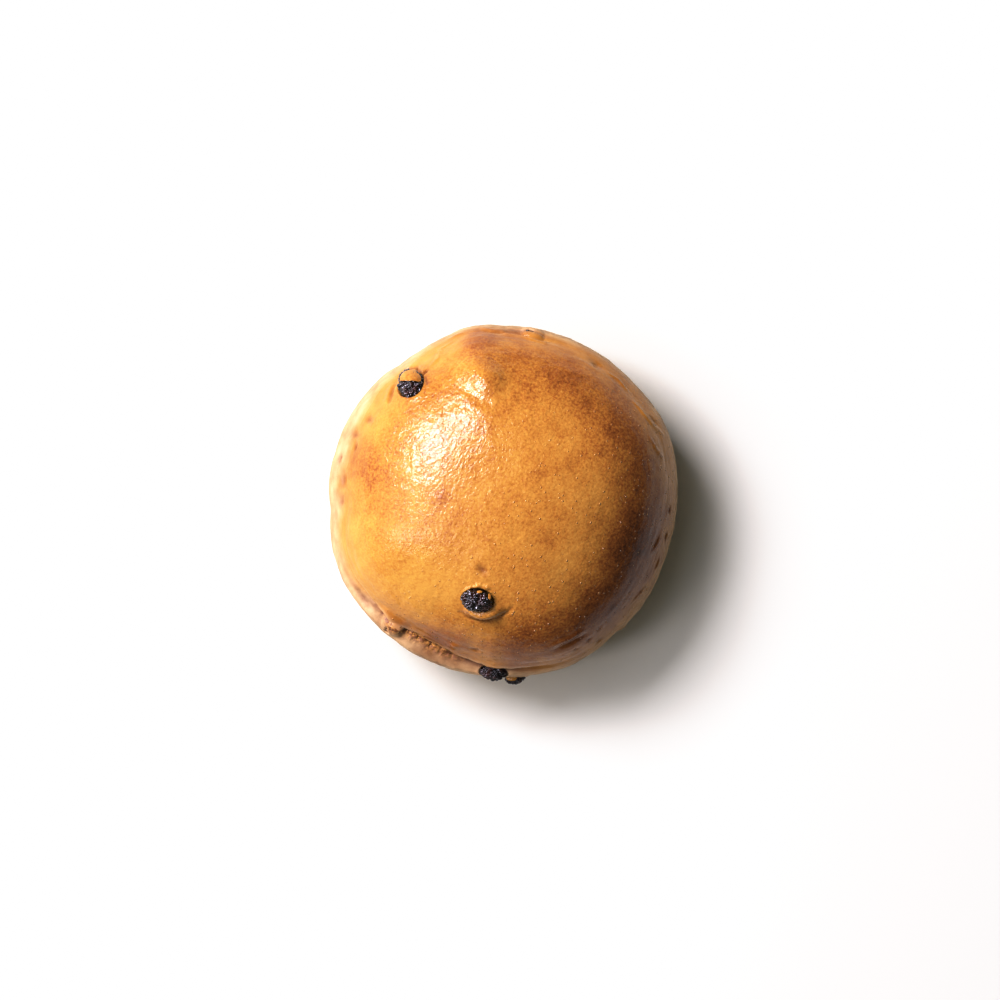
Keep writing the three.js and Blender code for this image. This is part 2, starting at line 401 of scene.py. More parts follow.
# How far in from its edge the bow is full, how fast it sinks behind, and how far round it reaches.
BOW_FACE = 2.3
BOW_BACK = 2.2
BOW_HALF_TURN = 50
from_bow = points[:, :2] - ROLL_CENTRE[:2] - BOW_MIDDLE
inside_bow = BOW_RADIUS - np.linalg.norm(from_bow, axis=1)
off_front = np.degrees(np.arctan2(from_bow[:, 0], -from_bow[:, 1]))
bow = smooth_step(inside_bow, 0, BOW_FACE)
bow *= np.exp(-((np.clip(inside_bow - BOW_FACE, 0, None) / BOW_BACK) ** 2))
bow *= np.clip(1 - (off_front / BOW_HALF_TURN) ** 2, 0, 1) * (above_fold > 3)
raise_by(BOW_RISE * bow)

off_base = smooth_step(points[:, 2], 0, 5)
raise_by(0.35 * off_base * speckle(22, 1) + 0.12 * off_base * speckle(9, 2))
normals = read_normals()
print("Height of the crown, in mm:", points[:, 2].max().round(2))

# %% [markdown]
# ### Sockets and collars
# A raisin sits in a socket, and the dough that rose round it hugs it as a low collar. The socket follows
# the raisin's own ellipsoid, a little larger, so that no dough passes through the fruit. Two raisins have
# none, because the dough covers them but for small windows.

# %% Press the raisins' sockets
SOCKET_GAP = 0.1
COLLARS = {
    # rise, width
    "raisin_crown": (0.0, 0.8),
    "raisin_shoulder": (0.35, 1.3),
    "raisin_split_front": (0.1, 0.8),
    "raisin_split_edge": (0.3, 0.8),
    "raisin_side": (0.6, 1.5),
    "raisin_underside": (0.0, 1.0),
}


def press_socket(node):
    axes, middle = seats[node]
    half = np.array(RAISIN_SIZES[node]) / 2 + SOCKET_GAP
    local = (points - middle) @ axes
    reach = np.linalg.norm(local[:, :2] / half[:2], axis=1)
    facing = normals @ axes[:, 2] > 0.2
    near = facing & (np.abs(local[:, 2]) < half[2] + 2)
    rise, width = COLLARS[node]
    past_edge = (reach - 1) * half[:2].mean()
    collar = rise * np.exp(-((past_edge / width) ** 2)) * near
    floor = -half[2] * np.sqrt(np.clip(1 - reach**2, 0, 1))
    cover = np.clip(local[:, 2] / half[2], 0, 0.95)
    inside = near & (reach < np.sqrt(1 - cover**2) - 0.06) & (local[:, 2] > floor)
    lift = np.where(inside, floor - local[:, 2], collar)
    points[:] += lift[:, None] * axes[:, 2]
    return int(inside.sum())


def cover_raisin(node, skin=0.35):
    """Pushes the dough out over a raisin that it hides, and leaves a skin on it."""
    axes, middle = seats[node]
    half = np.array(RAISIN_SIZES[node]) / 2 + skin
    local = (points - middle) @ axes
    reach = np.linalg.norm(local[:, :2] / half[:2], axis=1)
    short = half[2] * np.sqrt(np.clip(1 - reach**2, 0, 1)) - local[:, 2]
    facing = (normals @ axes[:, 2] > 0.1) & (reach < 1) & (short < half[2] + 1)
    points[:] += np.where(facing, np.clip(short, 0, None), 0)[:, None] * axes[:, 2]
    return int(facing.sum())


COVERED = ("raisin_in_split", "raisin_back")
print("Points in each socket:", {node: press_socket(node) for node in COLLARS})
print("Points over hidden raisins:", {node: cover_raisin(node) for node in COVERED})

# %% [markdown]
# ### Creases, dimples and ridges
# The crust set while the dough inside still rose, so it creased near the raisins and the lip. Each mark
# is one stroke: places on the plan in mm from the roll's middle, half width, rise or depth, and stain. The
# stain darkens the creases, dimples, pits and windows, and the bow's face turned from the lamps: painted
# shade.

# %% Draw the marks
MARKS = [
    # the crease at the foot of the bow below the raisin on the crown
    ([(-11.6, -29.3), (-8.8, -31.2), (-4.8, -32.2), (-1.0, -31.1), (2.4, -28.2)], 0.35, -0.6, 1.0),
    # the bow's face, turned from the lamps, is only darkened: painted shade
    ([(-10.6, -28.5), (-8.2, -30.0), (-4.8, -30.9), (-1.4, -30.0)], 1.0, 0.0, 0.9),
    # little lumps of glaze that the raisin pushed up at its far edge
    ([(-10.2, -24.0), (-8.6, -22.9)], 0.45, 0.5, 0.0),
    ([(-7.4, -22.5), (-6.2, -22.3)], 0.45, 0.5, 0.0),
    ([(-4.8, -22.5), (-3.6, -22.9)], 0.4, 0.4, 0.0),
    # creases on both sides of the raisin on the shoulder, and the ridge that runs up from it
    ([(-28.6, 32.0), (-29.6, 29.4), (-30.2, 26.4)], 0.45, -0.5, 0.7),
    ([(-29.4, 32.2), (-30.4, 29.6), (-31.0, 27.0)], 0.6, 0.3, 0.0),
    ([(-21.4, 33.6), (-20.2, 35.0)], 0.5, -0.5, 1.0),
    ([(-20.6, 33.2), (-20.0, 31.0)], 0.4, -0.3, 0.7),
    ([(-19.8, 35.4), (-17.2, 38.0), (-16.6, 40.6), (-14.0, 42.4)], 0.5, 0.35, 0.0),
    # dimples in the skirt on the left
    ([(-36.6, 22.4), (-35.6, 21.4)], 0.9, -0.5, 0.8),
    ([(-40.4, 18.4), (-39.2, 17.6)], 0.9, -0.5, 0.8),
    ([(-39.6, 15.6), (-39.8, 13.8)], 0.7, -0.4, 0.9),
    ([(-43.8, 12.6), (-44.0, 10.6)], 0.8, -0.5, 0.8),
    ([(-42.8, 7.6), (-43.0, 4.0)], 0.8, -0.45, 0.7),
    ([(-43.2, 1.2), (-43.6, -1.2)], 0.7, -0.4, 0.7),
    ([(-38.8, -24.2), (-37.6, -26.4), (-35.8, -28.4)], 0.9, -0.8, 0.9),
    # the long dimple at the front right, and the small ones beside it
    ([(14.2, -39.2), (17.6, -37.8), (21.6, -35.6)], 1.0, -0.6, 0.25),
    ([(14.0, -37.9), (17.2, -36.6), (21.0, -34.6)], 0.8, 0.35, 0.0),
    ([(26.0, -33.3), (25.4, -34.4)], 0.7, -0.4, 0.6),
    ([(23.2, -36.6), (22.6, -37.4)], 0.6, -0.35, 0.6),
    ([(26.2, -37.0), (25.4, -37.8)], 0.6, -0.35, 0.6),
    ([(19.8, -39.2), (19.2, -39.9)], 0.6, -0.3, 0.5),
    # dents and folds high on the crown and towards the right
    ([(-6.2, -17.2), (-5.0, -18.8)], 0.8, -0.45, 1.0),
    ([(24.4, 37.2), (25.6, 36.0)], 1.2, -0.5, 0.4),
    ([(42.6, -8.2), (41.4, -11.4), (40.0, -13.6)], 0.7, 0.5, 0.0),
    ([(-6.8, 47.0), (-2.0, 45.6), (4.0, 44.6), (11.2, 42.4)], 0.6, 0.5, 0.0),
    ([(0.0, 46.8), (5.0, 46.0), (11.0, 44.2)], 0.5, -0.5, 0.6),
    ([(-14.4, 43.6), (-10.2, 45.4)], 0.6, 0.3, 0.3),
    ([(31.4, -34.6), (33.2, -33.6)], 0.5, 0.4, 0.2),
    # wrinkles and pits low on the right
    ([(27.9, 34.4), (30.8, 32.4), (33.3, 29.5)], 0.5, 0.35, 0.0),
    ([(34.9, 26.6), (37.1, 23.6), (39.3, 20.9), (42.8, 17.6)], 0.5, 0.45, 0.0),
    ([(38.7, 17.1), (40.9, 13.3), (42.5, 11.6)], 0.45, 0.45, 0.0),
    ([(39.4, 22.6), (41.2, 20.6)], 0.4, -0.35, 0.4),
    ([(34.4, -27.6), (36.4, -25.4), (38.2, -23.6)], 0.5, 0.35, 0.0),
    ([(41.0, -18.6), (42.2, -15.6)], 0.4, 0.35, 0.0),
    ([(44.6, -1.6), (44.7, -3.2)], 0.5, -0.4, 0.8),
    ([(44.0, -8.6), (43.8, -10.4)], 0.5, -0.4, 0.8),
    # the blister near the lip, and the pit beside it
    ([(-14.0, -38.4), (-12.4, -39.0)], 0.9, 0.5, 0.0),
    ([(-8.4, -39.8), (-6.6, -40.2)], 0.5, -0.5, 1.0),
    # a shallow valley in front of the small mound high on the crown
    ([(-11.0, 30.2), (-6.6, 27.4), (-2.2, 24.4)], 1.5, -0.35, 0.0),
    # the edge of the flap over the raisin on the shoulder
    (
        [(-27.9, 32.9), (-27.2, 34.6), (-25.6, 35.9), (-23.6, 35.9), (-22.1, 34.7), (-21.6, 32.9)],
        0.4,
        -0.8,
        1.0,
    ),
    # windows over the two raisins that the dough covers
    ([(-31.1, -34.2), (-30.6, -34.7)], 0.45, -1.6, 0.9),
    ([(-30.4, -33.1), (-30.2, -33.4)], 0.4, -1.4, 0.9),
    ([(6.6, 45.7), (7.4, 45.4)], 0.4, -1.3, 0.9),
    ([(8.4, 46.6), (9.0, 46.4)], 0.4, -1.3, 0.9),
]
for path, wide, rise, shade_stain in MARKS:
    stroke(path, wide, rise, shade_stain)
print("Strokes drawn:", len(MARKS))

# %% [markdown]
# ### Wrinkles
# Near the lip the skin gathered in wrinkles that run round the roll. They are noise stretched along the
# wrinkle. On the crown they are finer and cross each other, so there the folds are sharpened by taking the
# noise's distance from its middle value. The skirt has no folds, only a rough grain.

# %% Add the wrinkles
normals = read_normals()
turn = np.radians(azimuth)
unrolled = np.stack([np.cos(turn) * 5.5, np.sin(turn) * 5.5, points[:, 2] / 1.7], axis=1)
round_roll = np.array([noise.fractal(place, 1.0, 2.0, 2) for place in unrolled])
near_lip = smooth_step(above_fold, 0.2, 1.5) * (1 - smooth_step(above_fold, 5, 14))
raise_by(0.11 * near_lip * round_roll)

on_crown = smooth_step(above_fold, 1, 6)
bend = speckle(6, 3)
folds = 1 - 2 * np.abs(speckle(2.6, 4, octaves=2) + 0.25 * bend)
raise_by(0.045 * on_crown * folds * (0.6 + 0.4 * speckle(12, 5)))

on_skirt = smooth_step(-above_fold, 0.5, 3) * off_base
grain = 0.2 * speckle(5, 6, stretch=(1, 1, 0.6), octaves=2) + 0.09 * speckle(1.6, 7, octaves=2)
raise_by(on_skirt * grain)

# %% [markdown]
# ### Torn crumb
# In the split the dough tore, so its surface is open crumb: pits between thin walls. Noise on a scale of
# about a millimetre gives the walls, and its low places are pushed in further to make the pits.

# %% Roughen the split
normals = read_normals()
torn = hump(azimuth, 238, 15) * np.exp(-(((above_fold + 0.55) / 0.8) ** 2))
torn = np.clip(1.6 * torn - 0.1 + 0.3 * speckle(2.5, 12), 0, 1) * (torn > 0.02)
walls = speckle(1.0, 8, octaves=3)
pits = np.clip(-0.1 - speckle(1.3, 9), 0, 1)
raise_by(torn * (0.4 * walls - 1.6 * pits))

# %% [markdown]
# ### The base
# The tray flattened the base, but not like glass: it has shallow hollows where steam was caught. They
# only go up, so the roll still stands on z = 0.

# %% Hollow the base slightly
on_base = points[:, 2] < 0.02
under = smooth_step(-normals[:, 2], 0.7, 0.95)
hollows = np.clip(speckle(7, 10, octaves=3) - 0.05, 0, 1)
points[:, 2] += np.where(on_base, 0.5 * hollows, 0)
points[:, 2] = np.maximum(points[:, 2], 0)
write_points()

# %% [markdown]
# ### From points to a piece
# A piece that can be used elsewhere is a mesh in metres with its faces outwards, tied to the body that it
# rides on, with the imported solids that it stands for hidden. What the sculpting knows about each point,
# such as how torn it is, goes along as a mask.


# %% Turn the sculpted points into a piece
def finish_piece(bm, name, nodes=()):
    """A mesh object in metres, smooth shaded, that rides on the body and hides the CAD nodes it stands for.
    """
    bm.transform(Matrix.Scale(MM, 4))
    bmesh.ops.recalc_face_normals(bm, faces=bm.faces)
    mesh = bpy.data.meshes.new(name)
    bm.to_mesh(mesh)
    bm.free()
    mesh.shade_smooth()
    piece = bpy.data.objects.new(name, mesh)
    bpy.context.scene.collection.objects.link(piece)
    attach(piece, "root")
    if nodes:
        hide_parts(*nodes)
    mesh.calc_loop_triangles()
    print(name, "has", len(mesh.loop_triangles), "triangles")
    return piece


def keep_mask(piece, name, values):
    mask = piece.data.attributes.new(name, "FLOAT", "POINT")
    mask.data.foreach_set("value", np.asarray(values, np.float32))


# %% [markdown]
# ### Where it baked browner, and painted shade
# An oven doesn't brown evenly, so there are paler and browner clouds on the crown. A ring near the crown's
# edge is darkened as well, most of all on the side turned from the lamps: mostly painted shade for the band
# where the crown turns from the light, with some browning. The clouds are listed as places on the plan in
# mm, with a reach and how much browner, and kept on the mesh as a mask that the finish reads.

# %% Lay out the browning and the painted shade
# The browner clouds at the front and on the right are painted shade where the crust turns from the lamps
# and lies under the lip. On the left, the browner and paler clouds are painted shade and painted light that
# even out the lamps. The rest are browning.
BROWNING_AND_SHADE = [
    (15, 34, 8, 0.15),
    (27, 22, 9, 0.15),
    (34, -12, 8, 0.20),
    (27, -25, 8, 0.08),
    (19, -36, 7, 0.15),
    (4, -38, 8, 0.30),
    (-14, -38, 7, 0.30),
    (-20, -40, 5, 0.40),
    (-28, -33, 5, 0.35),
    (-17, 1, 3, 0.25),
    (-7, 43, 4, 0.25),
    (25, 13, 3, 0.15),
    (12, -11, 3, 0.20),
    (24, 0, 8, -0.15),
    (16, -18, 7, -0.15),
    (-22, -24, 11, -0.32),
    (-35, -9, 8, -0.12),
    (-37, 6, 9, 0.20),
    (1, 41, 7, 0.20),
    (-17, 18, 11, 0.12),
]
# The ring is mostly painted shade, with some browning: it darkens the crown's edge most on the side turned
# from the lamps.
SHADE_RING = 40.5
SHADE_RING_WIDTHS = (12, 5)
SHADE_RING_SWELLS = [(-20, 0.45, 50), (50, 0.1, 30)]
from_middle = points[:, :2] - ROLL_CENTRE[:2]
reach = np.linalg.norm(from_middle, axis=1)
shade_ring_share = np.exp(-(((reach - SHADE_RING) / np.where(reach < SHADE_RING, *SHADE_RING_WIDTHS)) ** 2))
upper_side = smooth_step(points[:, 2], 12, 22)
browned = sum(
    much * np.exp(-(((from_middle - (x, y)) ** 2).sum(axis=1)) / wide**2) for x, y, wide, much in BROWNING_AND_SHADE
)
browned = browned + shade_ring_share * swell(azimuth, SHADE_RING_SWELLS)
print("Browning, least and most:", browned.min().round(2), browned.max().round(2))

# %% [markdown]
# ### Where the egg wash ends
# The wash was brushed on before baking, down to the fold, with an uneven edge that stops short of it at the
# back left. At the split it ends on the lip, whose thin rim above the crease is made paler.

# %% Finish the dough and keep its masks
WASH_SHORTFALL = 3.6
SHORTFALL_AT = (160, 45)
opened = split_openness(azimuth)
wash_edge = above_fold + 0.6 * speckle(4, 11) + 0.8 * (1 - opened) * speckle(11, 13)
wash_edge -= WASH_SHORTFALL * hump(azimuth, *SHORTFALL_AT)
wash = smooth_step(wash_edge, mix(-4.6, -0.6, opened), mix(0.2, 0.6, opened))
# The groove under the lip is darkened: painted shade.
crease = np.maximum(crease, 0.9 * opened * np.exp(-(((above_fold + 0.85) / 0.4) ** 2)))
roll = finish_piece(dough, "bread_roll", ["roll"])
keep_mask(roll, "wash", wash)
keep_mask(roll, "torn", torn)
keep_mask(roll, "crease", crease)
keep_mask(roll, "under", under)
keep_mask(roll, "browned", browned * upper_side)
keep_mask(roll, "rim", opened * np.exp(-(((above_fold - 1.45) / 0.35) ** 2)))

# %% [markdown]
# ## The raisins
# A raisin is a grape that shrank inside a skin that couldn't, so the skin is all folds. Each one is a
# ball drawn in along the lines where a noise crosses zero, which leaves round ridges between sharp
# valleys. A pattern of random cells swells the ridges into beads. No two get the same noise. Syrup came
# out of the two that stand free on top, so they glint more than the rest.


# %% Model the raisins
# Noise vectors are shifted by the clock unless a seed is set, and the raisins would differ in every run.
noise.seed_set(5)


def wrinkled(direction, seed):
    """How far out the skin lies in a direction, as a share of the plump ellipsoid."""
    place = direction * Vector((1.3, 2.0, 1.9)) + Vector((seed * 7.1, seed * 3.7, seed * 5.3))
    place += 0.5 * noise.noise_vector(place * 1.1)
    fold = min(abs(noise.noise(place)) * 2.4, 1)
    nearest, second = noise.voronoi(direction * 2.9 + Vector((9, seed, 0)))[0][:2]
    bead = min((second - nearest) * 2, 1)
    lump = noise.noise(direction * 1.6 + Vector((0, seed * 4.9, 0)))
    return 0.72 + 0.11 * fold**0.7 + 0.18 * bead**0.6 + 0.15 * lump


FLAT_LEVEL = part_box("raisin_underside")[0].z / MM
SYRUPY = ("raisin_crown", "raisin_shoulder")
SYRUP = 1.0
LITTLE_SYRUP = 0.15


def make_raisin(node, seed):
    axes, middle = seats[node]
    raisin = bmesh.new()
    bmesh.ops.create_icosphere(raisin, subdivisions=6, radius=1)
    half = np.array(RAISIN_SIZES[node]) / 2
    for vert in raisin.verts:
        place = axes @ (np.array(vert.co) * half * wrinkled(vert.co, seed)) + middle
        vert.co = (*place[:2], max(place[2], FLAT_LEVEL))
    return finish_piece(raisin, node.replace("raisin", "wrinkled_raisin"), [node])


raisins = {node: make_raisin(node, seed) for seed, node in enumerate(seats, start=1)}
for node, raisin in raisins.items():
    syrup = SYRUP if node in SYRUPY else LITTLE_SYRUP
    keep_mask(raisin, "syrup", np.full(len(raisin.data.vertices), syrup))

# %% [markdown]
# ### A flap of crust and strands of crumb
# The raisin on the shoulder broke through the crust and kept a flap of it on its back: a lens laid on the
# raisin's ellipsoid, cut off along a ragged line. Small flecks lie on two others. Seen from above, a place
# on the ellipsoid is a linear map of a place on a disc, so the flap can be laid out on the plan. In the
# split, strands of gluten still bridge the tear: each is a ball drawn out thin and bent.

# %% Model the flaps
UNCUT = -9
FLAPS = {
    # node it lies on, its middle on the plan, half length and half width, and where it is cut off
    "flap_on_shoulder": ("raisin_shoulder", (-24.7, 32.2), (2.95, 2.95), -0.2),
    "flap_on_edge": ("raisin_split_edge", (2.3, -47.9), (1.5, 0.75), UNCUT),
    "fleck_on_crown": ("raisin_crown", (-6.2, -23.9), (0.75, 0.35), UNCUT),
    "sliver_on_crown": ("raisin_crown", (-3.5, -25.1), (0.35, 0.9), UNCUT),
}


def on_ellipsoid(node, x, y):
    """Direction, in the raisin's own unit ball, of the point that shows at a place on the plan."""
    axes, middle = seats[node]
    to_world = axes * (np.array(RAISIN_SIZES[node]) / 2)
    pole = Vector(np.linalg.solve(to_world, (0, 0, 1))).normalized()
    side = pole.orthogonal().normalized()
    across = np.array((side, pole.cross(side))).T
    disc = np.linalg.solve((to_world @ across)[:2], np.array((x, y)) + ROLL_CENTRE[:2] - middle[:2])
    disc *= min(1, 0.97 / max(np.linalg.norm(disc), 1e-9))
    return across @ disc + np.array(pole) * math.sqrt(1 - disc @ disc)


def make_flap(name):
    node, (x_middle, y_middle), (long, wide), cut = FLAPS[name]
    axes, middle = seats[node]
    half = np.array(RAISIN_SIZES[node]) / 2
    flap = bmesh.new()
    bmesh.ops.create_icosphere(flap, subdivisions=5, radius=1)
    for vert in flap.verts:
        jag = 0.3 * noise.fractal(Vector((vert.co.x * 2.4, 0, 3)), 1.0, 2.0, 3)
        edge = 1 + 0.07 * noise.noise(Vector((vert.co.x, vert.co.y, 4)) * 2.5)
        x = x_middle + long * edge * vert.co.x
        y = y_middle + max(wide * edge * vert.co.y, cut + jag - 0.15 * vert.co.x)
        out = 0.985 + 0.05 * vert.co.z + 0.02 * noise.noise(vert.co * 3)
        vert.co = axes @ (on_ellipsoid(node, x, y) * half * out) + middle
    return finish_piece(flap, name, ["roll"])


def fill_masks(piece, **values):
    """The crust's masks on a small piece: nought, but for the ones given."""
    for mask in ("wash", "torn", "crease", "under", "browned", "rim"):
        keep_mask(piece, mask, np.full(len(piece.data.vertices), values.get(mask, 0)))


flaps = [make_flap(name) for name in FLAPS]
for flap in flaps:
    fill_masks(flap, wash=1)


# %% Model the strands
def make_strands(count=16):
    picker = random.Random(5)
    strands = bmesh.new()
    for _ in range(count):
        at = np.array([picker.uniform(229, 251)])
        z = np.array([FOLD_Z + picker.uniform(-1.2, -0.4)])
        start = crust(at, profile_radius(z), z)[0][0]
        z_top = np.array([FOLD_Z + picker.uniform(0.3, 1.0)])
        end = crust(at + picker.uniform(-3, 3), profile_radius(z_top), z_top)[0][0]
        start, end = Vector(start + ROLL_CENTRE), Vector(end + ROLL_CENTRE)
        thick = picker.uniform(0.1, 0.22)
        made = bmesh.ops.create_icosphere(strands, subdivisions=3, radius=1)["verts"]
        length = (end - start).length
        turn = (end - start).to_track_quat("Z", "Y")
        sag = picker.uniform(0.1, 0.5)
        for vert in made:
            waist = 0.55 + 0.45 * vert.co.z**2
            local = Vector((vert.co.x * thick * waist, vert.co.y * thick, vert.co.z * (length / 2 + 0.3)))
            local.x += sag * (1 - vert.co.z**2)
            vert.co = (start + end) / 2 + turn @ local
    return finish_piece(strands, "crumb_strands", ["roll"])


strands = make_strands()
fill_masks(strands, torn=1)

# %% [markdown]
# ## Finishes
# A material is a graph of nodes. Written node by node it is hard to read, so a small class wraps a socket
# and lets Python's own arithmetic add the Math nodes: `1 - mask` is one Subtract node.


# %% Write shader maths as expressions
class Channel:
    """A node's output. Arithmetic on it adds Math nodes to the same tree."""

    def __init__(self, tree, socket=None):
        self.tree = tree
        self.socket = socket

    def node(self, kind, settings=None, inputs=None, output=0):
        made = self.tree.nodes.new("ShaderNode" + kind)
        for name, value in (settings or {}).items():
            if name == "stops":
                fill_ramp(made.color_ramp, value)
            else:
                setattr(made, name, value)
        for key, value in (inputs or {}).items():
            if isinstance(value, Channel):
                self.tree.links.new(value.socket, made.inputs[key])
            else:
                made.inputs[key].default_value = value
        return Channel(self.tree, made.outputs[output] if len(made.outputs) else None)

    def math(self, operation, *values, clamp=False):
        settings = {"operation": operation, "use_clamp": clamp}
        return self.node("Math", settings, dict(enumerate(values)))

    def __add__(self, other):
        return self.math("ADD", self, other)

    def __sub__(self, other):
        return self.math("SUBTRACT", self, other)

    def __mul__(self, other):
        return self.math("MULTIPLY", self, other)

    def __rsub__(self, other):
        return self.math("SUBTRACT", other, self)

    def __pow__(self, other):
        return self.math("POWER", self, other)

    __radd__ = __add__
    __rmul__ = __mul__

    def clamped(self):
        return self.math("ADD", self, 0, clamp=True)

    def size(self):
        return self.math("ABSOLUTE", self)

    def step(self, low, high):
        """0 below low, 1 above high, and smooth between them."""
        settings = {"interpolation_type": "SMOOTHSTEP"}
        return self.node("MapRange", settings, {0: self, 1: low, 2: high})


def fill_ramp(ramp, stops):
    while len(ramp.elements) < len(stops):
        ramp.elements.new(0.5)
    for element, (place, colour) in zip(ramp.elements, stops):
        element.position = place
        element.color = (*colour, 1)


def new_finish(name):
    material = bpy.data.materials.new(name)
    material.use_nodes = True
    material.node_tree.nodes.clear()
    return material, Channel(material.node_tree)


def noise_of(at, patch_mm, detail=2.0, roughness=0.5, warp=0.0):
    """Noise from 0 to 1, in patches of about a size in mm."""
    inputs = {"Vector": at, "Scale": 1 / (patch_mm * MM), "Detail": detail, "Roughness": roughness}
    return at.node("TexNoise", None, {**inputs, "Distortion": warp})


def dots_of(at, spacing_mm, chance):
    """Soft round dots, 1 in their middle, in a share of the cells of a grid of random points."""
    cells = {"Vector": at, "Scale": 1 / (spacing_mm * MM)}
    near = at.node("TexVoronoi", None, cells)
    pick = at.node("TexVoronoi", None, cells, output=1)
    red = pick.node("SeparateColor", None, {0: pick})
    size = 0.12 + 0.2 * red.node("Math", {"operation": "FRACT"}, {0: red * 7.3})
    return (1 - near).step(1 - size, 1 - size * 0.35) * red.math("LESS_THAN", red, chance)


def drawn_out(at, turn, share):
    """Coordinates in which a pattern comes out long in one level direction and narrow across it."""
    turned = at.node("Mapping", None, {0: at, 2: (0, 0, math.radians(-turn))})
    return at.node("Mapping", None, {0: turned, 3: (share, 1, 1)})


def blend(low, high, share):
    """Mixes two colours."""
    return share.node("Mix", {"data_type": "RGBA"}, {0: share, 6: low, 7: high}, output=2)


# %% [markdown]
# ### Crust
# Egg wash browns in the oven from amber to deep brown, and dries to a gloss. The skirt had no wash, so it
# is pale and matte. The masks that the sculpting left tell the shader where each begins. The colours are
# stacked from the widest to the smallest: skirt or glaze with its browning and painted shade, the lip's
# pale rim, creases darkened with painted shade, crumb, the base, and the light dots of the pimples, which
# are painted glints. Crinkles and pimples, too small for the mesh, are bump.

# %% Mix the crust
PIMPLE_GLINT = (0.75, 0.45, 0.17, 1)
BROWN_STOPS = [
    (0.0, (0.60, 0.348, 0.080)),
    (0.35, (0.470, 0.236, 0.046)),
    (0.6, (0.31, 0.120, 0.024)),
    (0.8, (0.18, 0.058, 0.013)),
    (1.0, (0.075, 0.022, 0.008)),
]
SKIRT_PALE = (0.64, 0.45, 0.235, 1)
SKIRT_DARK = (0.31, 0.175, 0.07, 1)
RIM_PALE = (0.62, 0.42, 0.21, 1)
CRUMB = (0.55, 0.31, 0.075, 1)
CRUMB_DEEP = (0.20, 0.075, 0.018, 1)
CREASE_SHADE_BROWN = (0.17, 0.055, 0.022, 1)
BASE_LIGHT = (0.44, 0.21, 0.07, 1)
BASE_DARK = (0.20, 0.08, 0.025, 1)
# The side turned from the lamps: its pimples get painted glints, and its crinkles are weaker.
SHADED_SIDE = (0.7, -0.7, 0.0)
SHADED_SIDE_REACH = 47 * MM
CRINKLE_DEPTH = 0.10 * MM


def make_crust():
    material, start = new_finish("egg_washed_crust")
    at = start.node("TexCoord", output=3)
    wash, torn, crease, under, painted, rim = (
        start.node("Attribute", {"attribute_name": name}, output=2)
        for name in ("wash", "torn", "crease", "under", "browned", "rim")
    )
    towards_shaded_side = at.node("VectorMath", {"operation": "DOT_PRODUCT"}, {0: at, 1: SHADED_SIDE}, output=1)
    side = towards_shaded_side * (1 / SHADED_SIDE_REACH)
    clouds = noise_of(at, 16, 2.0)
    patches = noise_of(at, 4.5, 3.0, 0.55, 0.4)
    specks = noise_of(at, 0.7, 3.0, 0.65)
    height = at.node("SeparateXYZ", None, {0: at}, output=2)
    gathered = 0.2 + 0.8 * height.step(27 * MM, 40 * MM)
    uneven = 0.45 * (clouds - 0.5) + 0.45 * (patches - 0.5) + 0.95 * gathered * (specks - 0.5)
    # The mask adds browning and painted shade to the glaze's random unevenness.
    browned = 0.28 + uneven + painted
    glazed = start.node("ValToRGB", {"stops": BROWN_STOPS}, {0: browned.clamped()})
    layered = at.node("Mapping", None, {0: at, 3: (0.35, 0.35, 1)})
    streaks = noise_of(layered, 1.6, 3.0, 0.6)
    # The skirt darkens with the same mask, so it takes its painted shade at the front too.
    mottling = noise_of(at, 7, 4.0) + 0.5 * patches + 1.3 * (streaks - 0.5) - 0.45 + 1.2 * painted
    skirt = blend(SKIRT_PALE, SKIRT_DARK, mottling.clamped())
    tray = blend(BASE_LIGHT, BASE_DARK, noise_of(at, 6, 5.0, 0.6).step(0.35, 0.65))
    colour = blend(skirt, glazed, wash)
    crumb = blend(CRUMB_DEEP, CRUMB, noise_of(at, 0.9, 3.0).step(0.4, 0.62))
    colour = blend(colour, RIM_PALE, rim * 0.6)
    # Creases, dimples, pits, windows and the groove under the lip are darkened here: painted shade.
    colour = blend(colour, CREASE_SHADE_BROWN, crease * 0.7)
    colour = blend(colour, crumb, torn * 0.9)
    colour = blend(colour, tray, under)
    pimples = dots_of(at, 1.2, 0.45) * wash * side.step(-0.4, 0.4)
    # The pimples on the side turned from the lamps are painted lighter: a painted glint on each.
    colour = blend(colour, PIMPLE_GLINT, pimples * 0.6)

    waves = noise_of(drawn_out(at, 50, 0.7), 0.65, 2.0, 0.5, 0.6)
    swells = noise_of(drawn_out(at, 60, 0.8), 1.8, 1.0)
    grain = noise_of(at, 0.4, 2.0)
    crinkled = gathered * (1 - 0.5 * side.step(-0.6, 0.2))
    relief = wash * crinkled * (1.6 * waves + 2.3 * swells) + 2.6 * pimples
    relief = relief + 0.15 * grain + 2.5 * torn * noise_of(at, 0.6, 3.0)
    relief = relief + (1 - wash) * (0.5 * grain + 0.5 * noise_of(at, 1.2, 3.0) + 1.5 * streaks)
    bump = start.node("Bump", None, {"Strength": 1.0, "Distance": CRINKLE_DEPTH, "Height": relief})
    matte = 1 - wash * (1 - under)
    rough = 0.10 + 0.09 * patches + 0.5 * matte - 0.3 * torn
    shader = start.node(
        "BsdfPrincipled",
        None,
        {"Base Color": colour, "Roughness": rough.clamped(), "IOR": 1.47, "Normal": bump},
    )
    start.node("OutputMaterial", None, {0: shader})
    return material


crust_finish = make_crust()
for piece in (roll, *flaps, strands):
    piece.data.materials.append(crust_finish)

# %% [markdown]
# ### Raisin skin
# The skin is nearly black with a red-brown cast on its ridges. Where it is wet with syrup it is smoother,
# and a thin clear coat lies over it, so that its ridges glint.


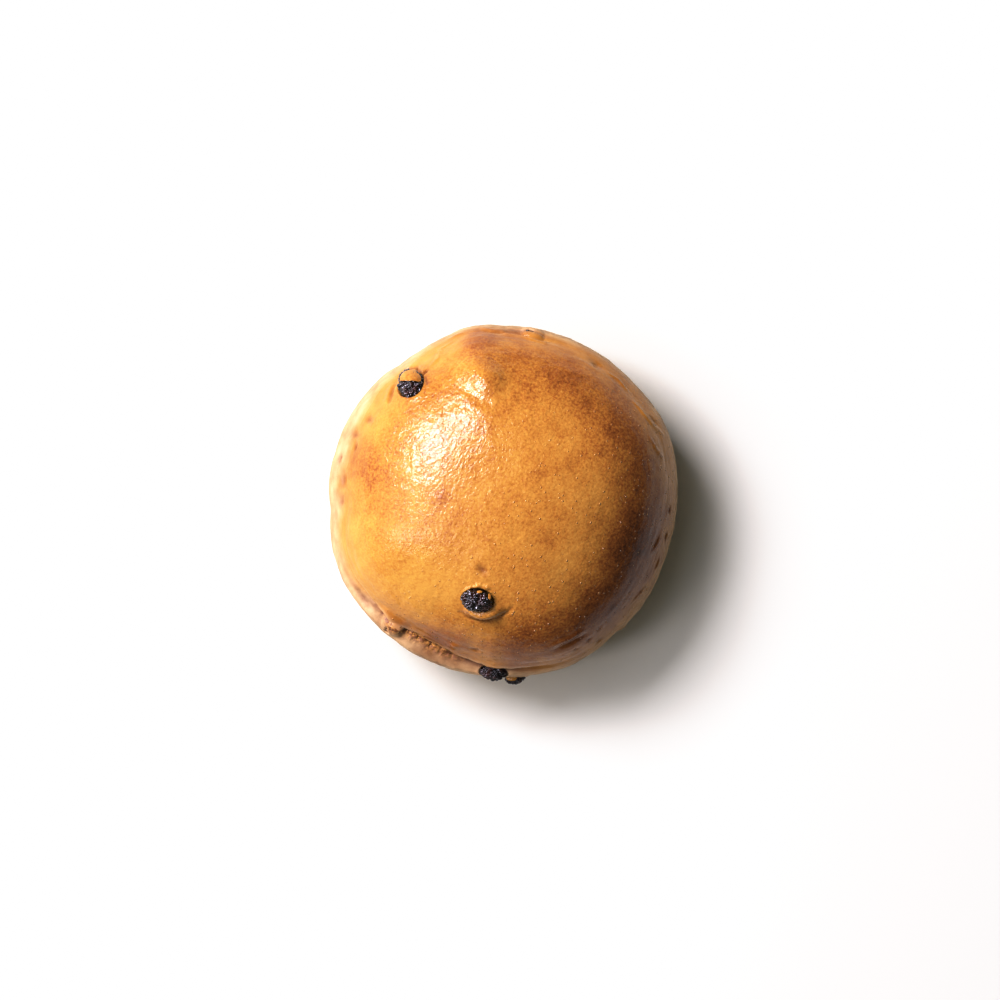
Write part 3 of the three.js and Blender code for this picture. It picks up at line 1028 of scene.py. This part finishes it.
# %% Mix the raisin skin
SKIN_BLACK = (0.007, 0.005, 0.004, 1)
SKIN_RED = (0.075, 0.023, 0.012, 1)
PUCKER_DEPTH = 0.12 * MM


def make_raisin_skin():
    material, start = new_finish("raisin_skin")
    at = start.node("TexCoord", output=3)
    tone = noise_of(at, 2.2, 3.0)
    colour = blend(SKIN_BLACK, SKIN_RED, tone.step(0.4, 0.75))
    relief = noise_of(at, 0.55, 2.0, 0.5, 0.8)
    bump = start.node("Bump", None, {"Strength": 1.0, "Distance": PUCKER_DEPTH, "Height": relief})
    syrup = start.node("Attribute", {"attribute_name": "syrup"}, output=2)
    rough = 0.30 - 0.2 * syrup + 0.12 * noise_of(at, 1.3, 2.0)
    shader = start.node(
        "BsdfPrincipled",
        None,
        {
            "Base Color": colour,
            "Roughness": rough,
            "IOR": 1.5,
            "Coat Weight": syrup,
            "Coat Roughness": 0.06,
            "Normal": bump,
        },
    )
    start.node("OutputMaterial", None, {0: shader})
    return material


raisin_skin = make_raisin_skin()
for raisin in raisins.values():
    raisin.data.materials.append(raisin_skin)

# %% [markdown]
# ## The studio
# The roll lies on pale paper. A small strong soft box at the back left makes the bright gloss, a large one
# behind it softens the shadow's edge, and a narrow one further round to the left draws the gloss out into
# a tail. The side away from them falls dark, and a weak even light from the room keeps the shadow open.


# %% Lay the floor
PAPER = (0.735, 0.74, 0.615, 1)


def make_floor():
    floor = bmesh.new()
    bmesh.ops.create_grid(floor, x_segments=1, y_segments=1, size=4)
    mesh = bpy.data.meshes.new("paper")
    floor.to_mesh(mesh)
    floor.free()
    paper = bpy.data.objects.new("paper", mesh)
    bpy.context.scene.collection.objects.link(paper)
    material, start = new_finish("white_paper")
    shader = start.node("BsdfDiffuse", None, {"Color": PAPER})
    start.node("OutputMaterial", None, {0: shader})
    mesh.materials.append(material)
    return paper


make_floor()

# %% Set up the lights
DAYLIGHT = (1.0, 0.95, 1.16)
ROOM_LIGHT = 0.13


def make_soft_box(direction, elevation, distance, size, power):
    """A soft box turned to the roll. Angles are in degrees, lengths in metres, and power in watts."""
    light = bpy.data.lights.new("soft_box", "AREA")
    light.shape = "RECTANGLE"
    light.size, light.size_y = size
    light.energy = power
    light.color = DAYLIGHT
    box = bpy.data.objects.new("soft_box", light)
    turn, rise = math.radians(direction), math.radians(elevation)
    flat = distance * math.cos(rise)
    box.location = (flat * math.cos(turn), flat * math.sin(turn), distance * math.sin(rise))
    bpy.context.scene.collection.objects.link(box)
    away = Vector((0, 0, 0.02)) - box.location
    box.rotation_euler = away.to_track_quat("-Z", "Y").to_euler()
    return box


make_soft_box(direction=140, elevation=47, distance=1.3, size=(0.7, 0.46), power=23)
make_soft_box(direction=166, elevation=46, distance=1.6, size=(2.3, 2.3), power=21)
make_soft_box(direction=202, elevation=44, distance=1.4, size=(0.26, 0.8), power=4.3)

world = bpy.data.worlds.new("room")
world.use_nodes = True
world.node_tree.nodes["Background"].inputs["Color"].default_value = (1, 0.99, 0.97, 1)
world.node_tree.nodes["Background"].inputs["Strength"].default_value = ROOM_LIGHT
bpy.context.scene.world = world

# %% [markdown]
# ### The camera and its tones
# The camera looks straight down through a long lens, from where the wanted width fills its frame at the
# height at which the roll is widest. It turns brightness into tones as cameras do: a curve sinks the low
# ones and lifts the high ones, so that the paper comes out white and the gloss keeps its sparkle.

# %% Place the camera
FRAME_WIDTH = 0.2708
LENS = 150
SENSOR = 36
LEFT_OF_MIDDLE = 0.8
BEHIND_MIDDLE = 0.3
camera_data = bpy.data.cameras.new("camera")
camera_data.lens = LENS
camera_data.sensor_width = SENSOR
camera = bpy.data.objects.new("camera", camera_data)
camera_height = WIDEST_Z * MM + FRAME_WIDTH * LENS / SENSOR
camera.location = (
    (ROLL_CENTRE[0] - LEFT_OF_MIDDLE) * MM,
    (ROLL_CENTRE[1] + BEHIND_MIDDLE) * MM,
    camera_height,
)
bpy.context.scene.collection.objects.link(camera)
bpy.context.scene.camera = camera
print("Camera height, in m:", round(camera_height, 3))

# %% Set the tones
TONES = [(0, 0), (0.12, 0.06), (0.3, 0.2), (0.5, 0.43), (0.7, 0.70), (0.87, 0.93), (0.97, 1.0)]


def set_tones(stops):
    view = bpy.context.scene.view_settings
    view.view_transform = "Standard"
    view.look = "None"
    view.use_curve_mapping = True
    view.curve_mapping.extend = "HORIZONTAL"
    tones = view.curve_mapping.curves[3]
    for place, tone in stops[1:-1]:
        tones.points.new(place, tone)
    tones.points[0].location = stops[0]
    tones.points[-1].location = stops[-1]
    view.curve_mapping.update()


set_tones(TONES)
